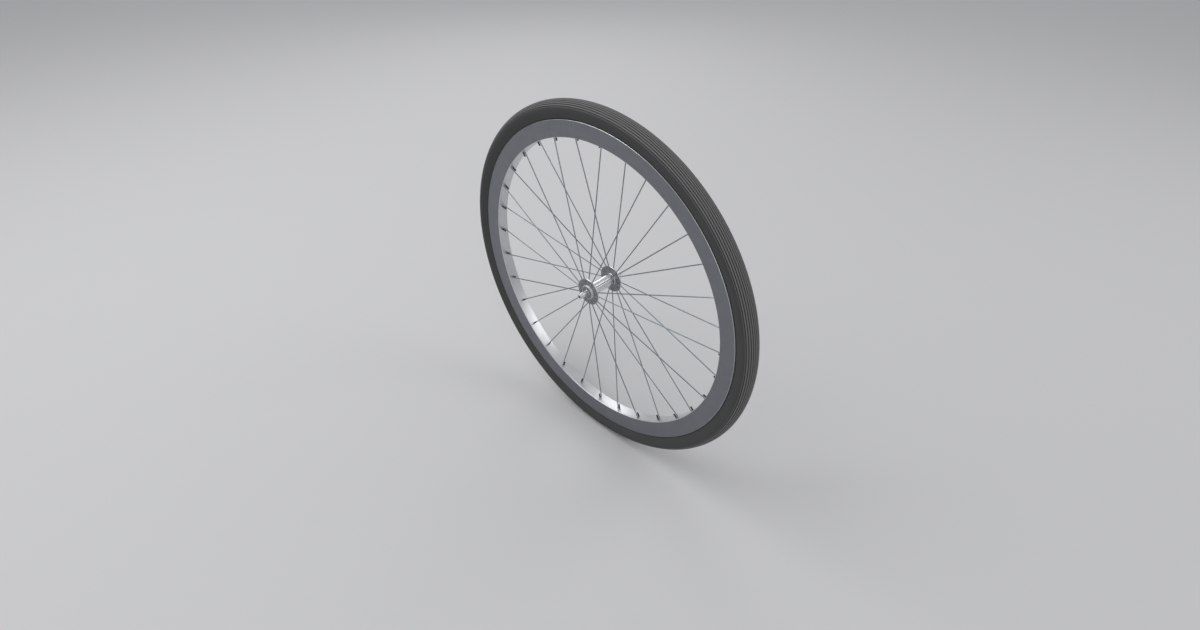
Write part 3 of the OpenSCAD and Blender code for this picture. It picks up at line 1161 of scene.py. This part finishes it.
@dataclass
class TyreCasing:
    """The tyre: a ribbed crown, smooth shoulders and sidewalls, and beads in the rim's lips."""

    rim: RimHoop
    half_width: float = 18.4 * MM
    outer_r: float = 347.9 * MM
    crown_drop: float = 2.1 * MM
    crown_angle: float = 50.0
    tread_t: float = 4.6 * MM
    sidewall_t: float = 2.6 * MM
    rib_count: int = 12
    rib_pitch: float = 3.85 * MM
    groove_w: float = 1.3 * MM
    groove_d: float = 1.3 * MM
    rib_round: float = 0.28 * MM
    seat_gap: float = 0.05 * MM
    shoulder_blend: float = 12.0
    # Radii over which the tread's painted light and shade come in from the sidewall
    tread_fade: Point = (336.2 * MM, 340.4 * MM)
    steps: int = 300

    @property
    def crown_r(self) -> float:
        """Radius of the crown arc."""
        return self.half_width + self.crown_drop

    @property
    def crown_c(self) -> Point:
        """Centre of the crown arc."""
        return (self.outer_r - self.crown_r, 0.0)

    @property
    def shoulder_r(self) -> float:
        """Radius of the shoulder arc, which is tangent to the crown arc."""
        sine = math.sin(math.radians(self.crown_angle))
        return (self.half_width - self.crown_r * sine) / (1 - sine)

    @property
    def shoulder_c(self) -> Point:
        """Centre of the shoulder arc."""
        return polar(self.crown_c, self.crown_r - self.shoulder_r, self.crown_angle)

    @property
    def bead_entry(self) -> Point:
        """Where the sidewall goes in between the rim's lips."""
        return (self.rim.edge_r + 1.4 * MM, self.rim.lip_y + 1.1 * MM)

    @property
    def shoulder_end(self) -> float:
        """Angle at which the straight run to the bead leaves the shoulder arc.

        Returns:
            The angle, in degrees.
        """
        down = self.bead_entry[0] - self.shoulder_c[0]
        out = self.bead_entry[1] - self.shoulder_c[1]
        touch = math.acos(self.shoulder_r / math.hypot(down, out))
        return math.degrees(math.atan2(out, down) - touch)

    @property
    def crown_run(self) -> float:
        """Length of the crown arc from the middle plane to the shoulder."""
        return self.crown_r * math.radians(self.crown_angle)

    def shoulder_turn(self, run: float) -> float:
        """Angle on the shoulder arc at a distance along the surface from the middle plane."""
        return self.crown_angle + math.degrees((run - self.crown_run) / self.shoulder_r)

    def skin(self, run: float, depth: float = 0.0) -> Point:
        """Point on or under the tread.

        Args:
            run: Distance along the surface from the middle plane.
            depth: Depth under the surface.

        Returns:
            The point.
        """
        if run > self.crown_run:
            return polar(self.shoulder_c, self.shoulder_r - depth, self.shoulder_turn(run))
        return polar(self.crown_c, self.crown_r - depth, math.degrees(run / self.crown_r))

    def groove_half(self, middle: float, sense: int) -> list[Point]:
        """Points of one wall of a groove, from its floor up to the rib beside it.

        Args:
            middle: Distance of the groove's middle along the surface from the middle plane.
            sense: 1 for the wall away from the middle plane, -1 for the other.

        Returns:
            The points.
        """
        half, rounding = self.groove_w / 2, self.rib_round
        marks = (
            (half * 0.75, self.groove_d), (half, rounding),
            (half + rounding * 0.3, rounding * 0.3), (half + rounding, 0.0),
        )
        return [self.skin(middle + sense * across, down) for across, down in marks]

    def outline(self) -> list[Point]:
        """Draws the casing's section.

        Returns:
            The closed outline.
        """
        rim, gap, wide = self.rim, self.seat_gap, 2 * self.seat_gap
        half = [self.skin(0.0, self.groove_d), *self.groove_half(0.0, 1)]
        for number in range(1, self.rib_count // 2):
            half.append(self.skin((number - 0.5) * self.rib_pitch))
            half += reversed(self.groove_half(number * self.rib_pitch, -1))
            half += self.groove_half(number * self.rib_pitch, 1)
        last_rib = (self.rib_count / 2 - 0.5) * self.rib_pitch
        start, end = self.shoulder_turn(last_rib), self.shoulder_end
        half += arc(self.shoulder_c, self.shoulder_r, start, end, 16)
        lip, bead = rim.lip_y - wide, rim.bead_y - wide
        seat, toe = rim.seat_r + gap, rim.shelf_y + wide
        half += [self.bead_entry, (rim.edge_r + 0.3 * MM, lip), (rim.edge_r - rim.lip_t, lip)]
        half += [(rim.edge_r - rim.lip_t - MM, bead), (seat, bead), (seat, toe), (rim.edge_r, toe)]
        inner_r, inner_start = self.shoulder_r - self.sidewall_t, self.crown_angle
        half += arc(self.shoulder_c, inner_r, end, inner_start + self.shoulder_blend, 10)
        crown_in = self.crown_r - self.tread_t
        half += arc(self.crown_c, crown_in, self.crown_angle - self.shoulder_blend, 0.0, 6)
        return both_halves(half)

    def build(self) -> Piece:
        """Models the tyre.

        Returns:
            The tyre.
        """
        casing = Bench.turned("ribbed_tyre", self.outline(), self.steps)
        Bench.smooth(casing, 38.0)
        return casing

    def dress(self, casing: Piece) -> None:
        """Gives the tyre its charcoal sidewalls, and a tread with painted light on its ribs and
        painted shade in its grooves.

        Args:
            casing: The tyre.
        """
        rubber = TreadRubber(
            "tyre_rubber", (0.053, 0.054, 0.054), 0.68,
            # Ribs paler as painted light, grooves darker as painted shade
            rib=(0.155, 0.155, 0.152), groove=(0.028, 0.028, 0.029),
            crown_c=self.crown_c, crown_r=self.crown_r, tread_r=self.tread_fade,
        )
        Bench.paint(casing, rubber.build())


@dataclass
class Hub:
    """The hub: a shell with two drilled flanges, an axle and its two end caps."""

    spokes: SpokeSet
    barrel_r: float = 11.6 * MM
    flange_r: float = 26.5 * MM
    boss_r: float = 13.4 * MM
    boss_y: float = 34.3 * MM
    recess_r: float = 11.4 * MM
    recess_h: float = 1.2 * MM
    seat_r: float = 9.5 * MM
    seat_y: float = 27.8 * MM
    bore_r: float = 7.5 * MM
    hole_r: float = 1.25 * MM
    countersink: float = 0.3 * MM
    axle_r: float = 5.0 * MM
    axle_shoulder: float = 32.6 * MM
    seat_for_cap: float = 4.7 * MM
    tip_r: float = 4.5 * MM
    tip_y: float = 53.5 * MM
    skewer_r: float = 2.6 * MM
    cap_face: float = 50.0 * MM
    cap_r: float = 5.5 * MM
    cap_hub_r: float = 6.25 * MM
    shield_r: float = 11.2 * MM
    shield_in: float = 33.3 * MM
    shield_out: float = 34.1 * MM
    bearing_out: float = 32.8 * MM
    cap_bore: float = 4.72 * MM
    fillet: float = 1.2 * MM
    rounding: float = 0.6 * MM
    steps: int = 144
    hole_sides: int = 20
    axle_steps: int = 72
    cap_steps: int = 96

    def shell_outline(self) -> list[Point]:
        """Draws the shell's section.

        Returns:
            The closed outline.
        """
        spokes, fillet, small = self.spokes, self.fillet, self.rounding
        flange_in, edge = spokes.flange_face - spokes.flange_t, spokes.flange_t / 2
        floor, lip = self.boss_y - self.recess_h, 0.2 * MM
        half = [(self.barrel_r, 0.0)]
        half += arc((self.barrel_r + fillet, flange_in - fillet), fillet, 180.0, 90.0, 8)
        half += arc((self.flange_r - edge, spokes.flange_mid), edge, -90.0, 90.0, 14)
        half += arc((self.boss_r + small, spokes.flange_face + small), small, 270.0, 180.0, 6)
        half += arc((self.boss_r - small, self.boss_y - small), small, 0.0, 90.0, 6)
        half += [(self.recess_r + lip, self.boss_y), (self.recess_r, self.boss_y - lip)]
        half += [(self.recess_r, floor), (self.seat_r, floor), (self.seat_r, self.seat_y)]
        half += [(self.bore_r, self.seat_y), (self.bore_r, 0.0)]
        return both_halves(half)

    def hole_drill(self) -> Piece:
        """Makes a drill with a countersink at each face of a flange.

        Returns:
            The drill.
        """
        half, sink = self.spokes.flange_t / 2, self.countersink
        wide = self.hole_r + 2 * sink
        outline = [(0.0, -half - sink), (wide, -half - sink), (self.hole_r, sink - half)]
        outline += [(self.hole_r, half - sink), (wide, half + sink), (0.0, half + sink)]
        return Bench.turned("hole_drill", outline, self.hole_sides)

    def shell(self) -> Piece:
        """Models the shell and drills its spoke holes.

        Returns:
            The shell.
        """
        body = Bench.turned("turned_hub_shell", self.shell_outline(), self.steps)
        drill = self.hole_drill()
        drills = []
        for number in range(self.spokes.count):
            bit = Bench.copy(drill, "hole_drill_copy")
            across = self.spokes.side(number).value * self.spokes.flange_mid
            Bench.settle(bit, place=(self.spokes.hole_r, across, 0.0))
            Bench.settle(bit, rotation=(0.0, -self.spokes.angle(number), 0.0))
            drills.append(bit)
        bpy.data.objects.remove(drill)
        Bench.combine(body, Bench.join(drills, "drills"), "DIFFERENCE")
        Bench.smooth(body)
        return body

    def axle(self) -> Piece:
        """Models the stepped, bored axle.

        Returns:
            The axle.
        """
        bevel = 0.35 * MM
        half = [(self.axle_r, 0.0), (self.axle_r, self.axle_shoulder - bevel)]
        half += [(self.axle_r - bevel, self.axle_shoulder), (self.seat_for_cap, self.axle_shoulder)]
        half += [(self.seat_for_cap, self.cap_face), (self.tip_r, self.cap_face)]
        half += arc((self.tip_r - bevel, self.tip_y - bevel), bevel, 0.0, 90.0, 4)
        half += [(self.skewer_r + bevel, self.tip_y), (self.skewer_r, self.tip_y - bevel)]
        half += [(self.skewer_r, 0.0)]
        rod = Bench.turned("stepped_axle", both_halves(half), self.axle_steps)
        Bench.smooth(rod)
        return rod

    def end_cap(self, side: Side) -> Piece:
        """Models an end cap with its dust shield.

        Args:
            side: Side of the wheel that it closes.

        Returns:
            The cap.
        """
        bevel, small, lip = 0.5 * MM, 0.25 * MM, 0.15 * MM
        outline = [(self.cap_bore, self.bearing_out), (self.cap_hub_r, self.bearing_out)]
        outline += [(self.cap_hub_r, self.shield_in), (self.shield_r, self.shield_in)]
        outline += arc((self.shield_r - small, self.shield_out - small), small, 0.0, 90.0, 4)
        outline += arc((self.cap_r + bevel, self.shield_out + bevel), bevel, 270.0, 180.0, 5)
        outline += arc((self.cap_r - bevel, self.cap_face - bevel), bevel, 0.0, 90.0, 5)
        outline += [(self.cap_bore + lip, self.cap_face), (self.cap_bore, self.cap_face - lip)]
        cap = Bench.turned(f"{side.name.lower()}_turned_cap", outline, self.cap_steps)
        if side is Side.RIGHT:
            Bench.settle(cap, mirrored=True)
        Bench.smooth(cap)
        return cap

    def dress_shell(self, body: Piece) -> None:
        """Gives the shell a polished barrel, flanges in a darker, rougher copy of its metal as
        painted shade, and end bosses in a pale half-metal coat as a painted highlight.

        Args:
            body: The shell.
        """
        boss_start, boss_wall = self.spokes.flange_face + 0.05 * MM, self.boss_r - 0.7 * MM

        def on_flange(centre: Vector, normal: Vector) -> bool:
            """Whether a face lies flat on a flange."""
            return abs(normal.y) > FLAT and from_axle(centre) > self.seat_r

        def on_boss(centre: Vector, normal: Vector) -> bool:
            """Whether a face is on the outer wall of an end boss."""
            return abs(centre.y) > boss_start and from_axle(centre) > boss_wall

        # Flanges take the painted shade, bosses the painted highlight
        satin, boss = HUB_FLANGE_PAINTED_SHADE.build(), HUB_BOSS_PAINTED_HIGHLIGHT.build()
        Bench.paint(body, HUB_POLISHED.build(), (satin, on_flange), (boss, on_boss))

    def dress_cap(self, cap: Piece) -> None:
        """Gives an end cap a bright sleeve and a satin shield.

        Args:
            cap: The cap.
        """
        shield_start = self.cap_r + 0.4 * MM

        def on_shield(centre: Vector, normal: Vector) -> bool:
            """Whether a face lies flat on the dust shield."""
            return abs(normal.y) > FLAT and from_axle(centre) > shield_start

        Bench.paint(cap, CAP_METAL.build(), (SHIELD_METAL.build(), on_shield))


@dataclass
class Valve:
    """The valve: a rubber-coated stem with a bare threaded end, and the core inside it."""

    rim: RimHoop
    angle: float
    stem_r: float = 3.85 * MM
    stem_bore: float = 2.6 * MM
    stem_show: float = 8.0 * MM
    thread_len: float = 5.5 * MM
    thread_r: float = 3.75 * MM
    thread_depth: float = 0.3 * MM
    thread_turns: int = 7
    foot_r: float = 5.35 * MM
    foot_t: float = 1.5 * MM
    foot_gap: float = 2.2 * MM
    core_set: float = 1.6 * MM
    core_len: float = 19.0 * MM
    core_r: float = 2.55 * MM
    core_thread: float = 6.0 * MM
    barrel_r: float = 1.9 * MM
    pin_r: float = 0.75 * MM
    pin_set: float = 0.6 * MM
    bevel: float = 0.3 * MM
    stem_steps: int = 32
    core_steps: int = 24
    # Shares of the pitch: end of the root, start and end of the crest, start of the next root
    thread_marks: tuple[float, float, float, float] = (0.1, 0.45, 0.55, 0.9)

    @property
    def stem_end(self) -> float:
        """Radius at which the stem ends, towards the hub."""
        return self.rim.face_r - self.stem_show

    def stand(self, piece: Piece) -> None:
        """Turns a piece that was made along the axle onto the valve's line."""
        Bench.settle(piece, rotation=(0.0, 0.0, -math.pi / 2))
        Bench.settle(piece, rotation=(0.0, -self.angle, 0.0))

    def stem(self) -> Piece:
        """Models the stem with its threaded end and its foot inside the tube.

        Returns:
            The stem.
        """
        end, bevel = self.stem_end, self.bevel
        coat, foot = end + self.thread_len, self.rim.well_r + self.foot_gap
        root, crest = self.thread_r - self.thread_depth, self.thread_r
        top = foot + self.foot_t
        pitch = (self.thread_len - bevel) / self.thread_turns
        outline = [(self.stem_bore, end + bevel), (self.stem_bore + bevel, end)]
        outline += [(root - bevel, end)]
        for turn in range(self.thread_turns):
            start = end + bevel + turn * pitch
            outline += [
                (radius, start + share * pitch)
                for radius, share in zip((root, crest, crest, root), self.thread_marks)
            ]
        outline += [(root, coat), (self.stem_r - bevel, coat), (self.stem_r, coat + bevel)]
        outline += [(self.stem_r, foot), (self.foot_r, foot)]
        outline += [(self.foot_r, foot + self.foot_t * 0.6), (self.foot_r - 0.5 * MM, top)]
        outline += [(self.stem_bore, top)]
        piece = Bench.turned("rubber_coated_stem", outline, self.stem_steps)
        self.stand(piece)
        Bench.smooth(piece, 30.0)
        return piece

    def core(self) -> Piece:
        """Models the core: a pin, a threaded plug and a thin barrel.

        Returns:
            The core.
        """
        bevel = self.bevel
        pin, plug = self.stem_end + self.pin_set, self.stem_end + self.core_set
        neck, tail = plug + self.core_thread, plug + self.core_len
        outline = [(0.0, pin), (self.pin_r - bevel, pin), (self.pin_r, pin + bevel)]
        outline += [(self.pin_r, plug), (self.core_r - bevel, plug), (self.core_r, plug + bevel)]
        outline += [(self.core_r, neck - bevel), (self.core_r - bevel, neck)]
        outline += [(self.barrel_r, neck), (self.barrel_r, tail - bevel)]
        outline += [(self.barrel_r - bevel, tail), (0.0, tail)]
        piece = Bench.turned("turned_valve_core", outline, self.core_steps)
        self.stand(piece)
        Bench.smooth(piece, 30.0)
        return piece

    def dress_stem(self, piece: Piece) -> None:
        """Gives the stem its rubber coat and bares its threaded end.

        Args:
            piece: The stem.
        """

        def on_thread(centre: Vector, normal: Vector) -> bool:
            """Whether a face lies on the bare end."""
            along = centre.x * math.cos(self.angle) + centre.z * math.sin(self.angle)
            return along < self.stem_end + self.thread_len

        Bench.paint(piece, STEM_RUBBER.build(), (VALVE_PLATE.build(), on_thread))


@dataclass
class HiddenParts:
    """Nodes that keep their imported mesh, because the rim, the tyre or the hub hides them."""

    finishes: dict[str, Finish] = field(default_factory=lambda: {
        "inner_tube": TUBE_RUBBER,
        "rim_tape": RIM_TAPE,
        "rim_joint_sleeve": SLEEVE_METAL,
        "bearing_spacer": SPACER_METAL,
        "outer_race": RACE_STEEL,
        "inner_race": RACE_STEEL,
        "balls": BALL_STEEL,
        "cage": CAGE_PLASTIC,
        "seals": SEAL_RUBBER,
    })

    def dress(self, shown: Iterable[str]) -> None:
        """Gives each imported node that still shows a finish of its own.

        Args:
            shown: Names of the nodes that no new piece stands for.
        """
        made: dict[str, bpy.types.Material] = {}
        for node in shown:
            kind = node.removeprefix("left_").removeprefix("right_")
            finish = self.finishes[kind]
            if finish.name not in made:
                made[finish.name] = finish.build()
            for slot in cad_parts[node].material_slots:
                slot.material = made[finish.name]
            LOG.info("%s keeps its packed mesh, finished as %s", node, finish.name)


@dataclass(frozen=True)
class Lamp:
    """A soft square lamp that faces the wheel: its place, its side and its power in watts."""

    name: str
    place: Place
    size: float
    power: float

    def hang(self) -> None:
        """Adds the lamp to the scene."""
        Bench.clear()
        bpy.ops.object.light_add(type="AREA", location=self.place)
        lamp = bpy.context.object
        lamp.name = self.name
        lamp.data.size = self.size
        lamp.data.energy = self.power
        lamp.rotation_euler = Vector(self.place).to_track_quat("Z", "Y").to_euler()


@dataclass
class Studio:
    """Pale floor, soft light and the camera."""

    floor_z: float
    floor_size: float = 60.0
    floor_colour: Colour = (0.63, 0.63, 0.64)
    floor_roughness: float = 0.9
    floor_gloss: float = 0.2
    # Stops of the surroundings' brightness, each with its share of the way up and its colour
    sky: tuple[tuple[float, Colour], ...] = (
        (0.1, (0.43, 0.437, 0.447)), (0.9, (0.54, 0.545, 0.555))
    )
    lamps: tuple[Lamp, ...] = (
        Lamp("key_lamp", (-1.6, -1.2, 2.6), 2.4, 42.0),
        Lamp("fill_lamp", (2.6, -2.2, 1.2), 2.0, 14.0),
        Lamp("back_lamp", (1.7, 2.1, 1.9), 1.6, 13.0),
        Lamp("side_lamp", (-2.05, 1.73, 1.34), 1.2, 8.0),
    )
    distance: float = 1.3538
    azimuth: float = 45.0
    elevation: float = 35.264
    lens: float = 21.83
    sensor: float = 36.0
    shift_up: float = -0.025

    def floor(self) -> None:
        """Lays the floor that the wheel stands on."""
        Bench.clear()
        bpy.ops.mesh.primitive_plane_add(size=self.floor_size, location=(0.0, 0.0, self.floor_z))
        ground = bpy.context.object
        ground.name = "studio_floor"
        graph = Graph("studio_floor")
        graph.coat((*self.floor_colour, 1.0), self.floor_roughness)
        graph.shader.inputs["Specular IOR Level"].default_value = self.floor_gloss
        ground.data.materials.append(graph.material)

    def light(self) -> None:
        """Sets the pale surroundings and the soft lamps."""
        world = bpy.data.worlds.new("studio")
        bpy.context.scene.world = world
        world.use_nodes = True
        tree = world.node_tree
        background = tree.nodes["Background"]
        place = tree.nodes.new("ShaderNodeTexCoord")
        split = tree.nodes.new("ShaderNodeSeparateXYZ")
        ramp = tree.nodes.new("ShaderNodeValToRGB")
        for band, (height, colour) in zip(ramp.color_ramp.elements, self.sky):
            band.position, band.color = height, (*colour, 1.0)
        tree.links.new(place.outputs["Generated"], split.inputs[0])
        tree.links.new(split.outputs["Z"], ramp.inputs["Fac"])
        tree.links.new(ramp.outputs["Color"], background.inputs["Color"])
        background.inputs["Strength"].default_value = 1.0
        for lamp in self.lamps:
            lamp.hang()

    def camera(self) -> None:
        """Places the camera, which looks at the wheel's centre from above its right side."""
        turn, rise = math.radians(self.azimuth), math.radians(self.elevation)
        flat = math.cos(rise)
        place = Vector((flat * math.sin(turn), -flat * math.cos(turn), math.sin(rise)))
        Bench.clear()
        bpy.ops.object.camera_add(
            location=place * self.distance, rotation=(math.pi / 2 - rise, 0.0, turn)
        )
        camera = bpy.context.object
        camera.data.lens = self.lens
        camera.data.sensor_width = self.sensor
        camera.data.shift_y = self.shift_up
        bpy.context.scene.camera = camera

    def build(self) -> None:
        """Sets the whole stage."""
        self.floor()
        self.light()
        self.camera()
        bpy.context.scene.view_settings.view_transform = "Standard"


def fit(piece: Piece, body: str, slot: str, *nodes: str) -> None:
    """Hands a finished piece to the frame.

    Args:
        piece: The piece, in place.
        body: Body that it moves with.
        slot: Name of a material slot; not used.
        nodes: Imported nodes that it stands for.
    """
    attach(piece, body)
    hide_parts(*nodes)
    triangles = sum(len(face.vertices) - 2 for face in piece.data.polygons)
    LOG.info("%s stands for %s with %d triangles", piece.name, ", ".join(nodes), triangles)


def main() -> None:
    """Builds the wheel's looks in order."""
    logging.basicConfig(level=logging.INFO, format="%(message)s")
    rim = RimHoop()
    spokes = SpokeSet(rim)
    tyre = TyreCasing(rim)
    hub = Hub(spokes)
    valve = Valve(rim, spokes.valve_angle)
    Studio(floor_z=-tyre.outer_r).build()

    casing = tyre.build()
    tyre.dress(casing)
    fit(casing, "wheel", "tyre", "tyre")

    hoop = rim.build(spokes)
    rim.dress(hoop)
    fit(hoop, "wheel", "rim", "rim")

    wires, nipples = spokes.build()
    steel, plate = SPOKE_STEEL.build(), NIPPLE_PLATE.build()
    for number, wire in enumerate(wires, start=1):
        Bench.paint(wire, steel)
        fit(wire, "wheel", "spokes", f"spoke_{number:02d}")
    for side, group in nipples.items():
        Bench.paint(group, plate)
        fit(group, "wheel", "nipples", f"{side.name.lower()}_nipples")

    shell = hub.shell()
    hub.dress_shell(shell)
    fit(shell, "wheel", "hub_shell", "hub_shell")
    rod = hub.axle()
    Bench.paint(rod, AXLE_METAL.build())
    fit(rod, "axle_set", "axle", "axle")
    for side in Side:
        cap = hub.end_cap(side)
        hub.dress_cap(cap)
        fit(cap, "axle_set", "end_caps", f"{side.name.lower()}_end_cap")

    stem = valve.stem()
    valve.dress_stem(stem)
    fit(stem, "wheel", "valve_stem", "valve_stem")
    core = valve.core()
    Bench.paint(core, VALVE_BRASS.build())
    fit(core, "wheel", "valve_core", "valve_core")

    HiddenParts().dress(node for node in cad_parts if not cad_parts[node].hide_render)


if __name__ == "__main__":
    main()
